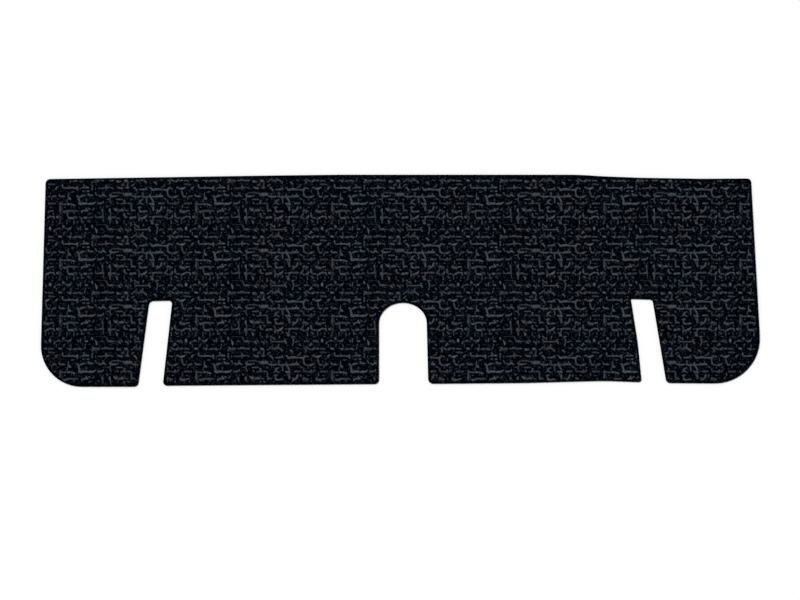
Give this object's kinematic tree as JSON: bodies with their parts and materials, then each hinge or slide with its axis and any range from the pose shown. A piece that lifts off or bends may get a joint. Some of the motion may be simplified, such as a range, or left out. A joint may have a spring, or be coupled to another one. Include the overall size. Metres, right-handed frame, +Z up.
{
  "type": "trunk mat",
  "caption": "Flat trunk mat of thick tweed cloth, with slanted bracket slots and a round-headed notch cut into its front edge.",
  "frame": {"origin": "on the floor, under the middle of the box round the mat's outline", "axes": "+X to the right along the mat's length, +Y to the back edge, away from the slots, +Z up through the cloth's face"},
  "size_m": [1.1496, 0.339, 0.006],
  "materials": {
    "tweed": "coarse slubbed tweed, charcoal on near-black navy, matte"
  },
  "bodies": {
    "root": {"mat": "tweed"}
  },
  "joints": []
}
